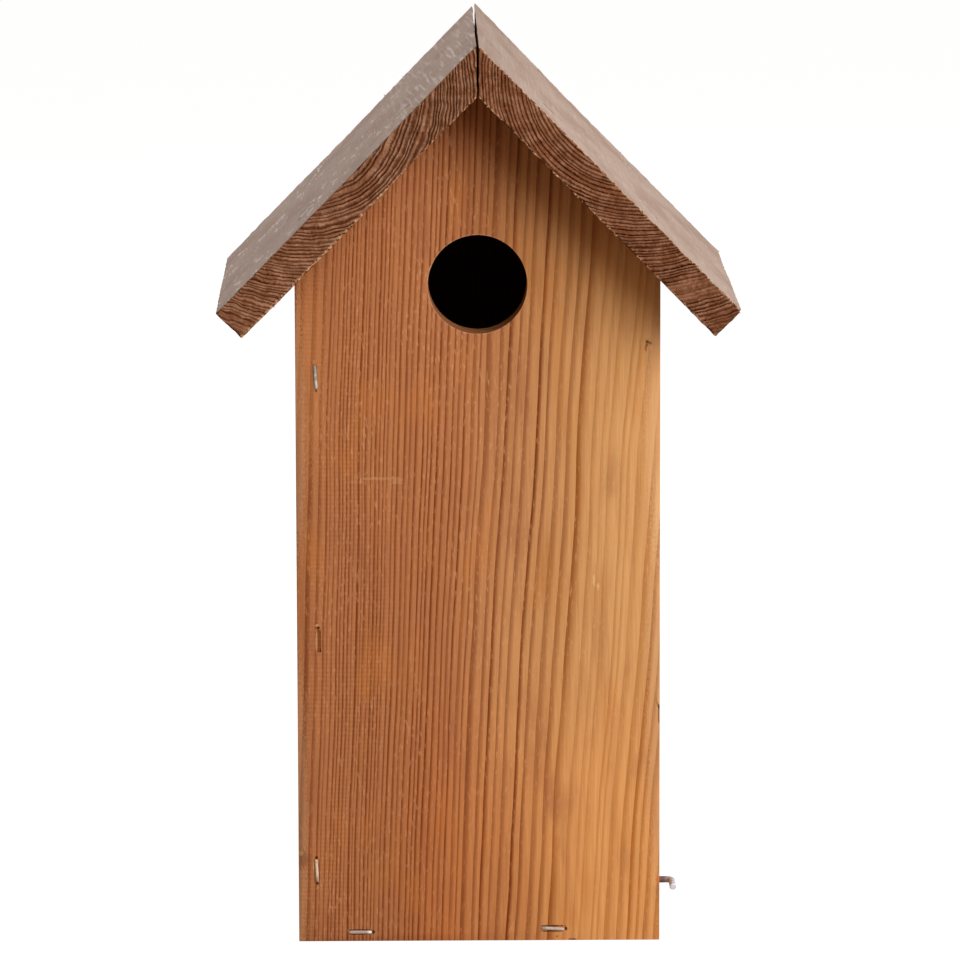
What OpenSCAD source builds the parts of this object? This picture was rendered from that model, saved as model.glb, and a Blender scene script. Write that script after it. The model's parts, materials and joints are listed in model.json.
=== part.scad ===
// Nest box for small birds: seven boards with a steep gabled roof, stapled together.
// The right side hangs on two nails near its top and swings out at the bottom for cleaning.
// A bent wire hook in the front wall's edge turns over the closed side and keeps it shut.
//
// Millimetres. The front faces -Y, +X is to the right, and the box stands on z = 0.
// The origin is on the ground under the middle of the roof.

/* [Box] */
// Width across the front wall and the back wall
body_w = 166; // [140:1:220]
// Depth from the front face to the back face
body_d = 170; // [130:1:220]
// Height of the walls at the outer edges, under the eaves
eave_h = 309; // [250:1:400]
// Thickness of the wall boards
board_t = 16; // [14:0.5:22]
// Thickness of the floor board
floor_t = 12; // [9:0.5:20]

/* [Roof] */
// Angle of each roof board above level
roof_pitch = 45.5; // [38:0.5:52]
// Thickness of the roof boards
roof_t = 16.5; // [12:0.5:22]
// Length of roof underside that stands past a side wall, along the slope
eave_overhang = 33.8; // [20:0.1:60]
// Length of roof that stands out past the front wall
front_overhang = 30; // [10:1:60]
// Length of roof that stands out past the back wall
rear_overhang = 0; // [0:1:30]
// Open joint between the two mitred boards at the ridge
ridge_gap = 1.3; // [0.2:0.1:2]

/* [Openings] */
// Diameter of the entrance hole
entrance_d = 45; // [26:0.5:60]
// Depth of the entrance hole's centre below the walls' peak
entrance_below_peak = 88.5; // [70:0.5:130]
// Diameter of the hole in the back wall that hangs on a nail or hook
hang_d = 8; // [5:0.5:10]
// Depth of the hanging hole's centre below the walls' peak
hang_below_peak = 46.5; // [38:0.5:60]
// Diameter of the drain holes in the floor
drain_d = 6; // [4:0.5:10]
// Distance of the drain holes from the floor's edges
drain_inset = 24; // [12:1:35]

/* [Clean-out side] */
// Open joint between the side and the front and back walls
side_gap = 1.5; // [0.5:0.1:3]
// Open joint between the side's bevelled top and the roof
side_top_gap = 2.5; // [1.5:0.1:5]
// Height of the side's lower edge above the ground
side_foot = 1.5; // [1:0.1:5]
// Open joint between the side's inner face and the floor
side_floor_gap = 1; // [0.5:0.1:3]
// Depth of the pivot nails below the eaves
pivot_below_eave = 31; // [25:1:60]
// Distance of the pivot nails from the side's outer face
pivot_inset = 6.8; // [5:0.1:9]

/* [Nails, staples and hook] */
// Diameter of the pivot nails
pivot_d = 2.2; // [2:0.1:3.4]
// Diameter of the pivot nails' heads
pivot_head_d = 2.8; // [2.6:0.1:5]
// Height of the pivot nails' heads
pivot_head_h = 1.2; // [0.8:0.1:2]
// Length of the pivot nails under the head
pivot_l = 45; // [35:1:60]
// Depth to which the pivot nails' heads are punched in
pivot_sink = 2; // [0.5:0.1:3]
// Diameter of the staples' wire
staple_wire = 1.6; // [1:0.1:1.8]
// Outer width of a staple
staple_crown = 12; // [8:0.5:13]
// Length of a staple's legs
staple_leg = 28; // [24:1:40]
// Radius of a staple's corners, at the middle of the wire
staple_bend = 1.1; // [1:0.1:2]
// Diameter of the hook's wire
hook_wire = 3; // [2:0.1:4]
// Distance from the front wall's edge to the hook's arm
hook_reach = 5.9; // [5:0.1:10]
// Length of the hook's arm, from the middle of its shank
hook_arm = 15.5; // [12:0.5:20]
// Length of the hook's shank in the wood
hook_shank = 22; // [15:1:35]
// Height of the hook above the ground
hook_h = 26.7; // [20:0.1:60]
// Radius of the hook's bend, at the middle of the wire
hook_bend = 2.6; // [2.2:0.1:4]

/* [Hidden] */
$fn = 64;

// Play around a nail or a leg that is driven into wood
drive_play = 0.05;
// Running play around the pivot nails and around the hook's shank
run_play = 0.08;
// Free depth past the tip of a nail or a leg
tip_play = 1;
// Length of the point on nails, legs and the hook
tip_l = 3;
// Radius of a point's flat end
tip_r = 0.25;
// Bevel round the end of the hook's arm
hook_edge = 0.5;
// Cuts run this far past the faces they open
past = 1;

// The front's staples are driven by hand, so each strays from its even place:
// [across, up, turned anticlockwise]
side_stray = [[0.3, 0.7, 3.5], [1.9, -6.9, 0], [1.1, 0, 4]];
floor_stray = [[0, -1.8, 0], [0, -0.5, -3.5]];
// Depth of the middle of each crown below the face
side_sink = [0.35, 2, 0.25];
floor_sink = [0.3, 0.25];
// Crowns in the rough roof boards and in the back are driven in flush
flush_sink = 0.8;

// Lowest side staple above the ground, and highest below the eaves
side_staple_foot = 32.6;
side_staple_drop = 46.3;
// Staples along the front's lower edge, from the left edge of the wall
floor_staple_x = [28.1, 116.8];
// Staples through the left wall into the floor, from the floor's front and back ends
floor_side_inset = 34;
// Staples in the roof boards, along the underside from the peak and from the wall's outer face
roof_staple_peak = 32;
roof_staple_eave = 24;

half_w = body_w / 2;
inner_w = half_w - board_t;
roof_l = front_overhang + body_d + rear_overhang;
front_y = front_overhang - roof_l / 2;
back_y = front_y + body_d;
peak_z = eave_h + half_w * tan(roof_pitch);
ridge_z = peak_z + roof_t / cos(roof_pitch);
under_l = half_w / cos(roof_pitch) + eave_overhang;
slope_l = under_l + roof_t * tan(roof_pitch);
pivot_x = half_w - pivot_inset;
pivot_z = eave_h - pivot_below_eave;
floor_right = inner_w - side_floor_gap;

// ---- Boards ----

// Height of the roof's underside at a distance from the middle, less a gap square to the slope
function under_z(x, gap = 0) = peak_z - abs(x) * tan(roof_pitch) - gap / cos(roof_pitch);

// A board whose outline is drawn in X and Z and that runs from y0 to y1
module board(outline, y0, y1) {
    translate([0, y1, 0])
        rotate([90, 0, 0])
            linear_extrude(y1 - y0)
                polygon(outline);
}

// The front and back walls' five-sided outline
module gable(y0) {
    board([[-half_w, 0], [half_w, 0], [half_w, eave_h], [0, peak_z], [-half_w, eave_h]],
          y0, y0 + board_t);
}

// ---- Fasteners: each stands on a face at z = 0 and points down into the wood ----

// A round shaft from z = 0 down, with a point
module spike(r, l) {
    translate([0, 0, tip_l - l])
        cylinder(h = l - tip_l, r = r);
    translate([0, 0, -l])
        cylinder(h = tip_l, r1 = min(tip_r, r / 2), r2 = r);
}

// A quarter ring of round wire in the X-Z plane, from the top of the ring to its +X side
module wire_corner(r, bend) {
    rotate([90, 0, 0])
        rotate_extrude(angle = 90)
            translate([bend, 0])
                circle(r);
}

// A staple's wire: its crown lies along X at z = 0
module staple_shape(r) {
    leg_x = staple_crown / 2 - staple_wire / 2;
    run = leg_x - staple_bend;
    translate([-run, 0, 0])
        rotate([0, 90, 0])
            cylinder(h = 2 * run, r = r);
    for (side = [0, 1])
        mirror([side, 0, 0]) {
            translate([run, 0, -staple_bend])
                wire_corner(r, staple_bend);
            translate([leg_x, 0, -staple_bend])
                children();
        }
}

module staple(sink) {
    color("silver")
        translate([0, 0, -sink])
            staple_shape(staple_wire / 2)
                spike(staple_wire / 2, staple_leg - staple_bend);
}

// The room that a staple fills, with the groove that its crown leaves above it
module staple_room(sink) {
    r = staple_wire / 2 + drive_play;
    run = staple_crown / 2 - staple_wire / 2;
    deep = staple_leg - staple_bend + tip_play;
    translate([0, 0, -sink]) {
        staple_shape(r)
            translate([0, 0, -deep])
                cylinder(h = deep, r = r);
        translate([-run, -r, 0])
            cube([2 * run, 2 * r, sink + past]);
    }
}

module pivot_nail() {
    color("dimgray")
        translate([0, 0, -pivot_sink - pivot_head_h]) {
            cylinder(h = pivot_head_h, r = pivot_head_d / 2);
            spike(pivot_d / 2, pivot_l);
        }
}

// The nail's hole in the wall, with the pit that the punch leaves over its head
module pivot_nail_room() {
    head = pivot_sink + pivot_head_h;
    translate([0, 0, -head])
        cylinder(h = head + past, r = pivot_head_d / 2 + drive_play);
    translate([0, 0, -board_t - past])
        cylinder(h = board_t, r = pivot_d / 2 + drive_play);
}

// ---- Places ----

// Turns a fastener to go into the front face, the back face, the left face or the roof
module into_front() { rotate([90, 0, 0]) children(); }
module into_back() { rotate([-90, 0, 0]) children(); }
module into_left() { rotate([0, -90, 0]) rotate([0, 0, 90]) children(); }
module into_right() { rotate([0, 90, 0]) children(); }
module into_roof() { rotate([0, roof_pitch, 0]) children(); }

// The three staples in a gable wall's left edge, 1 at the bottom
function side_staple_z(i) =
    side_staple_foot + (i - 1) * (eave_h - side_staple_drop - side_staple_foot) / 2;

module at_front_side(i) {
    stray = side_stray[i - 1];
    translate([-half_w + board_t / 2 + stray[0], front_y, side_staple_z(i) + stray[1]])
        into_front()
            rotate([0, 0, 90 + stray[2]])
                children();
}

module at_back_side(i) {
    translate([-half_w + board_t / 2, back_y, side_staple_z(i)])
        into_back()
            rotate([0, 0, 90])
                children();
}

module at_front_floor(i) {
    stray = floor_stray[i - 1];
    translate([-half_w + floor_staple_x[i - 1] + stray[0], front_y, floor_t / 2 + stray[1]])
        into_front()
            rotate([0, 0, stray[2]])
                children();
}

module at_back_floor(i) {
    translate([-half_w + floor_staple_x[i - 1], back_y, floor_t / 2])
        into_back()
            children();
}

module at_left_floor(i) {
    y = i == 1 ? front_y + board_t + floor_side_inset : back_y - board_t - floor_side_inset;
    translate([-half_w, y, floor_t / 2])
        into_left()
            children();
}

// The four staples in the right roof board: 1 and 2 over the front wall, 3 and 4 over the back wall
module at_roof(i) {
    along = i % 2 == 1 ? roof_staple_peak : half_w / cos(roof_pitch) - roof_staple_eave;
    y = i <= 2 ? front_y + board_t / 2 : back_y - board_t / 2;
    translate([0, y, ridge_z])
        into_roof()
            translate([roof_t * tan(roof_pitch) + along, 0, 0])
                children();
}

module at_pivot_front() {
    translate([pivot_x, front_y, pivot_z])
        into_front()
            children();
}

module at_pivot_back() {
    translate([pivot_x, back_y, pivot_z])
        into_back()
            children();
}

module at_hook() {
    translate([half_w, front_y + board_t / 2, hook_h])
        into_right()
            children();
}

// Both roof boards' staples
module at_both_roofs(i) {
    for (side = [0, 1])
        mirror([side, 0, 0])
            at_roof(i)
                children();
}

// ---- Sub-parts ----

module front_wall() {
    color("peru")
        difference() {
            gable(front_y);
            translate([0, front_y + board_t + past, peak_z - entrance_below_peak])
                into_front()
                    cylinder(h = board_t + 2 * past, r = entrance_d / 2);
            for (i = [1:3])
                at_front_side(i) staple_room(side_sink[i - 1]);
            for (i = [1:2])
                at_front_floor(i) staple_room(floor_sink[i - 1]);
            for (i = [1:2])
                at_both_roofs(i) staple_room(flush_sink);
            at_pivot_front() pivot_nail_room();
            at_hook() hook_room();
        }
}

module back_wall() {
    color("peru")
        difference() {
            gable(back_y - board_t);
            translate([0, back_y + past, peak_z - hang_below_peak])
                into_front()
                    cylinder(h = board_t + 2 * past, r = hang_d / 2);
            for (i = [1:3])
                at_back_side(i) staple_room(flush_sink);
            for (i = [1:2])
                at_back_floor(i) staple_room(flush_sink);
            for (i = [3:4])
                at_both_roofs(i) staple_room(flush_sink);
            at_pivot_back() pivot_nail_room();
        }
}

module left_wall() {
    color("peru")
        difference() {
            board([[-half_w, 0], [-inner_w, 0], [-inner_w, under_z(inner_w)], [-half_w, eave_h]],
                  front_y + board_t, back_y - board_t);
            for (i = [1:3]) {
                at_front_side(i) staple_room(side_sink[i - 1]);
                at_back_side(i) staple_room(flush_sink);
            }
            for (i = [1:2])
                at_left_floor(i) staple_room(flush_sink);
        }
}

module clean_out_side() {
    deep = pivot_sink + pivot_head_h + pivot_l + tip_play;
    color("peru")
        difference() {
            board([[inner_w, side_foot], [half_w, side_foot],
                   [half_w, under_z(half_w, side_top_gap)], [inner_w, under_z(inner_w, side_top_gap)]],
                  front_y + board_t + side_gap, back_y - board_t - side_gap);
            at_pivot_front() translate([0, 0, -deep]) cylinder(h = deep, r = pivot_d / 2 + run_play);
            at_pivot_back() translate([0, 0, -deep]) cylinder(h = deep, r = pivot_d / 2 + run_play);
        }
}

module floor_board() {
    l = body_d - 2 * board_t;
    w = floor_right + inner_w;
    color("burlywood")
        difference() {
            translate([-inner_w, front_y + board_t, 0])
                cube([w, l, floor_t]);
            for (x = [drain_inset, w - drain_inset], y = [drain_inset, l - drain_inset])
                translate([x - inner_w, y + front_y + board_t, -past])
                    cylinder(h = floor_t + 2 * past, r = drain_d / 2);
            for (i = [1:2]) {
                at_front_floor(i) staple_room(floor_sink[i - 1]);
                at_back_floor(i) staple_room(flush_sink);
                at_left_floor(i) staple_room(flush_sink);
            }
        }
}

module roof_right() {
    in_x = ridge_gap / 2;
    rise = in_x * tan(roof_pitch);
    out_x = slope_l * cos(roof_pitch);
    out_z = ridge_z - slope_l * sin(roof_pitch);
    color("rosybrown")
        difference() {
            board([[in_x, ridge_z - rise], [in_x, peak_z - rise],
                   [out_x - roof_t * sin(roof_pitch), out_z - roof_t * cos(roof_pitch)], [out_x, out_z]],
                  -roof_l / 2, roof_l / 2);
            for (i = [1:4])
                at_roof(i) staple_room(flush_sink);
        }
}

module roof_left() {
    mirror([1, 0, 0]) roof_right();
}

// The hook stands in the wall's edge: its shank runs in and its arm points to the front
module hook_wire_out(r) {
    cylinder(h = hook_reach - hook_bend, r = r);
    translate([0, -hook_bend, hook_reach - hook_bend])
        rotate([0, 0, 90])
            wire_corner(r, hook_bend);
    translate([0, -hook_bend, hook_reach])
        rotate([90, 0, 0]) {
            cylinder(h = hook_arm - hook_bend - hook_edge, r = r);
            translate([0, 0, hook_arm - hook_bend - hook_edge])
                cylinder(h = hook_edge, r1 = r, r2 = r - hook_edge);
        }
}

module latch_hook() {
    color("silver")
        at_hook() {
            hook_wire_out(hook_wire / 2);
            spike(hook_wire / 2, hook_shank);
        }
}

module hook_room() {
    deep = hook_shank + tip_play;
    translate([0, 0, -deep])
        cylinder(h = deep + past, r = hook_wire / 2 + run_play);
}

front_wall();
back_wall();
left_wall();
clean_out_side();
floor_board();
roof_left();
roof_right();
at_pivot_front() pivot_nail();  // pivot_nail_front
at_pivot_back() pivot_nail();  // pivot_nail_back
latch_hook();
for (i = [1:3]) {
    at_front_side(i) staple(side_sink[i - 1]);
    at_back_side(i) staple(flush_sink);
}
for (i = [1:2]) {
    at_front_floor(i) staple(floor_sink[i - 1]);
    at_back_floor(i) staple(flush_sink);
    at_left_floor(i) staple(flush_sink);
}
for (i = [1:4]) {
    at_roof(i) staple(flush_sink);
    mirror([1, 0, 0]) at_roof(i) staple(flush_sink);
}
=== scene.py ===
"""Looks of the nest box: planed larch walls under two rough-sawn roof boards, with staples, nails and a hook.

Everything is in metres in the part's own frame. Wood is described in millimetres, the unit it is cut in.
"""

import functools
import itertools
import json
import math
from typing import NamedTuple

import bmesh
import bpy
import numpy as np
from mathutils import Matrix, Vector


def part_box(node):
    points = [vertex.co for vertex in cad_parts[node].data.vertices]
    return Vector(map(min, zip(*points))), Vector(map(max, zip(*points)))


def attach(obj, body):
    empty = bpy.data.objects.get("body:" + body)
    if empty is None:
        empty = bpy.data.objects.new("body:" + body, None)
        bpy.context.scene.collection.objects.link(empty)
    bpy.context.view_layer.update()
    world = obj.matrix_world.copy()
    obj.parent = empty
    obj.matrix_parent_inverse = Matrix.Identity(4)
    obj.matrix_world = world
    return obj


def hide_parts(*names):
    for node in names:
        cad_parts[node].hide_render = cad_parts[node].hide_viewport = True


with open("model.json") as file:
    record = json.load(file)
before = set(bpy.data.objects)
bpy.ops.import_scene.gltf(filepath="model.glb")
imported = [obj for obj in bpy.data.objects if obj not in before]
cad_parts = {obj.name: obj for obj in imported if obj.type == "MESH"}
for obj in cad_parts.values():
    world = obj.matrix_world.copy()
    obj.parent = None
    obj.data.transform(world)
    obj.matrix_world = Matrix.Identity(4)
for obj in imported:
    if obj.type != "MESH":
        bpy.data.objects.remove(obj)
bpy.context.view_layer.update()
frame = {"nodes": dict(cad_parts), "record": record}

MM = 0.001
ROOF_PITCH = math.radians(45.5)
RUN, FALL = math.cos(ROOF_PITCH), math.sin(ROOF_PITCH)     # how far a unit of the roof's slope goes out and down


# ---- Repeatable noise for meshes ----

def random_at(cells, seed):
    """A repeatable number from 0 to 1 for each row of whole numbers in an (n, 3) array."""
    mixed = cells[:, 0] * 73856093 ^ cells[:, 1] * 19349663 ^ cells[:, 2] * 83492791 ^ seed * 2654435
    mixed = (mixed ^ mixed >> 13) * 1274126177 & 0xFFFFFFFF
    mixed ^= mixed >> 16
    return (mixed & 0xFFFF) / 0xFFFF


def noise(seed, *axes):
    """Smooth noise from -1 to 1; each axis is an array that holds one wave a unit."""
    points = np.stack([np.asarray(axis, float) for axis in np.broadcast_arrays(*axes)], axis=1)
    cells = np.floor(points).astype(np.int64)
    part = points - cells
    part = part * part * (3 - 2 * part)
    total = np.zeros(len(points))
    for corner in itertools.product((0, 1), repeat=3):
        weight = np.prod(np.where(corner, part, 1 - part), axis=1)
        total += weight * random_at(cells + np.array(corner), seed)
    return 2 * total - 1


# ---- Materials ----

def rgb(red, green, blue):
    """A colour given as it looks on screen, 0 to 255, as Blender's linear numbers."""
    linear = [(c / 255 / 12.92) if c <= 10 else ((c / 255 + 0.055) / 1.055) ** 2.4 for c in (red, green, blue)]
    return (*linear, 1.0)


# Planed larch: the early and the late wood at both ends of a cut's reach, and what lies over them
GOLD, GOLD_DARK = rgb(226, 170, 110), rgb(178, 110, 46)
RED, RED_DARK = rgb(188, 122, 78), rgb(120, 54, 12)
STAIN, ROSE, AMBER = rgb(142, 76, 38), rgb(152, 90, 64), rgb(204, 128, 62)
# The second colour is the hole rim's pale fibres, and a painted highlight on its lit left side
LIFTED, RIM_FUZZ_AND_HIGHLIGHT = rgb(226, 168, 120), rgb(232, 190, 156)
PLANER_STROKE = 2.1               # millimetres from one stroke of the planer to the next

# Sawn larch: two tones in the chamber and on the roof boards, and what lies over them
CHAMBER_WOOD, CHAMBER_FLECK = (rgb(116, 76, 48), rgb(98, 64, 40)), rgb(140, 100, 66)
ROOF_WOOD, ROOF_FLECK = (rgb(132, 82, 50), rgb(108, 64, 38)), rgb(170, 122, 84)
SAWN_RING, GREYED_RING = rgb(96, 64, 46), rgb(110, 84, 68)
# The middle colour of the next line is pale fibres on the end grain's edges and a painted highlight along the lit
# upper edge
SPECK, FRINGE_AND_HIGHLIGHT, SAW_PIT = rgb(182, 126, 84), rgb(222, 178, 134), rgb(40, 22, 12)

# Marks on the front, 0 to 255; the first two are painted shade, in pits and along staple crowns
PIT_SHADE, CROWN_EDGE_SHADE, FRESH, PALE, NICK = (44, 22, 12), (86, 44, 18), (224, 178, 120), (234, 194, 152), (236, 190, 132)


class Tree:
    """Builds the nodes of one material or world. Inputs are sockets or plain values, and each call returns a
    socket."""

    def __init__(self, name, world=False):
        self.owner = (bpy.data.worlds if world else bpy.data.materials).new(name)
        self.owner.use_nodes = True
        self.tree = self.owner.node_tree
        self.tree.nodes.clear()
        output = self.tree.nodes.new("ShaderNodeOutputWorld" if world else "ShaderNodeOutputMaterial")
        self.surface = output.inputs["Surface"]

    def put(self, socket, value):
        if isinstance(value, bpy.types.NodeSocket):
            self.tree.links.new(value, socket)
        else:
            socket.default_value = value

    def node(self, kind, inputs=(), **settings):
        made = self.tree.nodes.new(kind)
        for key, value in settings.items():
            setattr(made, key, value)
        for key, value in dict(inputs).items():
            self.put(made.inputs[key], value)
        return made

    def coordinates(self, kind="Object"):
        return self.node("ShaderNodeTexCoord").outputs[kind]

    def math(self, operation, first, second=0.0, clamp=False):
        return self.node("ShaderNodeMath", {0: first, 1: second}, operation=operation, use_clamp=clamp).outputs[0]

    def add(self, *values):
        return functools.reduce(functools.partial(self.math, "ADD"), values)

    def times(self, *values):
        return functools.reduce(functools.partial(self.math, "MULTIPLY"), values)

    def subtract(self, first, second):
        return self.math("SUBTRACT", first, second)

    def length(self, first, second):
        """The length of a line that goes as far as first on one axis and second on the other."""
        return self.math("SQRT", self.add(self.times(first, first), self.times(second, second)))

    def centred(self, value, swing):
        """Turns a value from 0 to 1 into one that goes half of swing to either side of 0."""
        return self.times(self.subtract(value, 0.5), swing)

    def line(self, value, start, end, low=0.0, high=1.0, **settings):
        """Goes evenly from low to high while value goes from start to end."""
        inputs = {"Value": value, "From Min": start, "From Max": end, "To Min": low, "To Max": high}
        return self.node("ShaderNodeMapRange", inputs, **settings).outputs[0]

    def ease(self, value, start, end, low=0.0, high=1.0):
        """Goes smoothly from low to high while value goes from start to end."""
        return self.line(value, start, end, low, high, interpolation_type="SMOOTHSTEP")

    def vector(self, x=0.0, y=0.0, z=0.0):
        return self.node("ShaderNodeCombineXYZ", {0: x, 1: y, 2: z}).outputs[0]

    def parts(self, vector):
        return self.node("ShaderNodeSeparateXYZ", {0: vector}).outputs

    def noise(self, vector, scale=1, detail=2, seed=0):
        """Noise from 0 to 1 with one wave a unit of the vector, times scale."""
        inputs = {"Vector": vector, "W": seed, "Scale": scale, "Detail": detail}
        return self.node("ShaderNodeTexNoise", inputs, noise_dimensions="4D").outputs[0]

    def face_noise(self, first, second, waves, detail=2, seed=0):
        """Noise over two lengths of a face; waves holds its wave length on each."""
        return self.noise(self.vector(self.times(first, 1 / waves[0]), self.times(second, 1 / waves[1])),
                          detail=detail, seed=seed)

    def grain(self, across, along, detail=2, seed=0):
        """Noise whose waves are across millimetres wide and along millimetres long in the grain's direction."""
        waves = zip(self.axes, (across, across, along))
        return self.noise(self.vector(*(self.times(axis, 1 / wave) for axis, wave in waves)), detail=detail,
                          seed=seed)

    def mix(self, factor, first, second, blend="MIX"):
        made = self.node("ShaderNodeMix", data_type="RGBA", blend_type=blend)
        for key, value in ((0, factor), (6, first), (7, second)):
            self.put(made.inputs[key], value)
        return made.outputs[2]

    def shaded(self, colour, *levels):
        """The colour times one level, or one for each of its three parts."""
        return self.mix(1.0, colour, self.vector(*(levels * 3)[:3]), blend="MULTIPLY")

    def bump(self, height, distance):
        return self.node("ShaderNodeBump", {"Height": height, "Distance": distance}).outputs[0]

    def finish(self, colour, roughness, normal, metallic=0.0, specular=0.5):
        shader = self.node("ShaderNodeBsdfPrincipled", {
            "Base Color": colour, "Roughness": roughness, "Metallic": metallic, "Specular IOR Level": specular,
            "Normal": normal})
        self.put(self.surface, shader.outputs[0])
        return self.owner

    def finish_blend(self, factor, first, second):
        """Shows the first shader node where factor is 0 and the second where it is 1."""
        made = self.node("ShaderNodeMixShader", {0: factor, 1: first.outputs[0], 2: second.outputs[0]})
        self.put(self.surface, made.outputs[0])
        return self.owner


class Cut(NamedTuple):
    """How a board lies in its log. Lengths are millimetres, and the heart is given across the grain."""
    grain: str                    # the axis along the grain
    heart: tuple                  # where the log's heart lies on the two other axes
    lean: tuple = (0.0, 0.0)      # how far the heart moves on them for each millimetre of grain
    rings: float = 0.3            # rings a millimetre
    narrow: tuple = ()            # stretches of narrow years: (inner radius, outer radius, rings a millimetre more)
    late: tuple = (0.45, 0.45)    # share of a ring that is dark late wood, inside and outside
    reach: tuple = (0.0, 300.0)   # radius that inside and outside stand for
    deepens: tuple = ()           # the same for the late wood's colour, when it differs
    calm: tuple = ()              # radii between which the late wood is faint
    sharp: float = 1.0            # below 1, the late wood darkens sooner
    wobble: float = 2.0           # how far the rings stray from round
    kink: float = 0.0             # how far they zigzag within a few millimetres
    seed: float = 0.0


def rings(tree, cut):
    """The board's growth rings as (late wood from 0 to 1, a number for each ring, the radius). The tree's axes
    become the position in millimetres on the two axes across the grain and the one along it."""
    parts = tree.parts(tree.coordinates())
    order = "xyz".replace(cut.grain, "") + cut.grain
    tree.axes = axes = [tree.times(parts["xyz".index(axis)], 1 / MM) for axis in order]
    strayed = []
    for index in (0, 1):
        slow = tree.grain(70, 170, detail=1, seed=cut.seed + index)
        quick = tree.grain(16, 60, detail=1, seed=cut.seed + index + 10)
        heart = tree.add(cut.heart[index], tree.times(axes[2], cut.lean[index]))
        stray = tree.add(tree.centred(slow, 4 * cut.wobble), tree.centred(quick, cut.wobble))
        if cut.kink:
            zigzag = tree.grain(6, 60, detail=1, seed=cut.seed + index + 15)
            near_eave = tree.line(tree.math("ABSOLUTE", axes[0]), 85, 115, 1.0, 3.0)
            stray = tree.add(stray, tree.times(tree.centred(zigzag, 2 * cut.kink), near_eave))
        strayed.append(tree.subtract(tree.add(axes[index], stray), heart))
    radius = tree.length(*strayed)
    count = tree.times(radius, cut.rings)
    for inner, outer, added in cut.narrow:
        count = tree.add(count, tree.line(radius, inner, outer, 0.0, added * (outer - inner)))
    years = tree.noise(tree.vector(tree.times(count, 0.45)), detail=1, seed=cut.seed + 20)
    count = tree.add(count, tree.times(years, 2.0))
    phase = tree.math("FRACT", count)
    share = tree.line(radius, *cut.reach, *cut.late)
    rise = tree.math("DIVIDE", tree.subtract(phase, tree.subtract(1.0, share)), share, clamp=True)
    fall = tree.ease(phase, 1.0, 0.95)
    late = tree.ease(tree.times(tree.math("POWER", rise, cut.sharp), fall), 0.1, 0.9)
    year = tree.node("ShaderNodeTexWhiteNoise", {"W": tree.math("FLOOR", count)}, noise_dimensions="1D")
    return late, year.outputs[0], radius


class Mark(NamedTuple):
    """A stain, dent or smear on the front's face, or painted shade in a pit, hole or groove: its middle and half
    size in X and Z, in millimetres.
    """
    x: float
    z: float
    half_x: float
    half_z: float
    colour: tuple                 # as it looks on screen, 0 to 255
    share: float                  # how far the wood takes the colour
    height: float                 # bump against the wood's own relief: below 0 it is a dent
    ragged: float                 # how far the outline strays


def add_marks(tree, colour, height, marks):
    """Lays the marks over the wood, in the few millimetres behind the face, and returns the colour and the
    height with them."""
    rough = tree.subtract(tree.grain(0.7, 1.4, seed=71), 0.5)
    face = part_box("front_wall")[0].y / MM
    at_x, at_y, at_z = tree.axes
    near = tree.ease(at_y, face + 5, face + 2)
    for mark in marks:
        away = tree.length(tree.times(tree.subtract(at_x, mark.x), 1 / mark.half_x),
                           tree.times(tree.subtract(at_z, mark.z), 1 / mark.half_z))
        inside = tree.times(tree.ease(tree.add(away, tree.times(rough, 1.6 * mark.ragged)), 1.15, 0.75), near)
        colour = tree.mix(tree.times(inside, mark.share), colour, rgb(*mark.colour))
        if mark.height:
            height = tree.add(height, tree.times(inside, mark.height))
    return colour, height


def drilled(tree, colour, height, hole):
    """The drill has left darker end grain in the hole, which is a middle in X and Z and a radius, and the wall is
    darkened further as painted shade. Pale fibres round its rim are stronger on the left, where they are also a
    painted highlight on the rim the lamp lights."""
    x = tree.subtract(tree.axes[0], hole[0])
    z = tree.subtract(tree.axes[2], hole[1])
    out = tree.subtract(tree.length(x, z), hole[2])
    # Painted shade: the hole's wall is darker than its end grain alone
    colour = tree.shaded(colour, tree.ease(out, 0.3, 0.05, 1.0, 0.70))
    fuzz = tree.grain(1.1, 2.2, seed=73)
    rim = tree.times(tree.ease(out, 0.05, 0.25), tree.ease(tree.add(out, tree.times(fuzz, 1.6)), 1.35, 0.85))
    # Painted highlight: the rim's pale fibres are stronger on the left, where the lamp lights the rim
    left = tree.line(x, -8, 16, 0.6, 0.25)
    return tree.mix(tree.times(rim, left), colour, RIM_FUZZ_AND_HIGHLIGHT), tree.add(height, tree.times(rim, 0.6))


def reddened(tree, colour):
    """The front's wood is more orange low down and toward the right."""
    much = tree.times(tree.ease(tree.axes[2], 160, 40), tree.ease(tree.axes[0], -48, -12))
    return tree.shaded(colour, *(tree.line(much, 0, 1, 1.0, most) for most in (1.09, 0.97, 0.85)))


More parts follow.
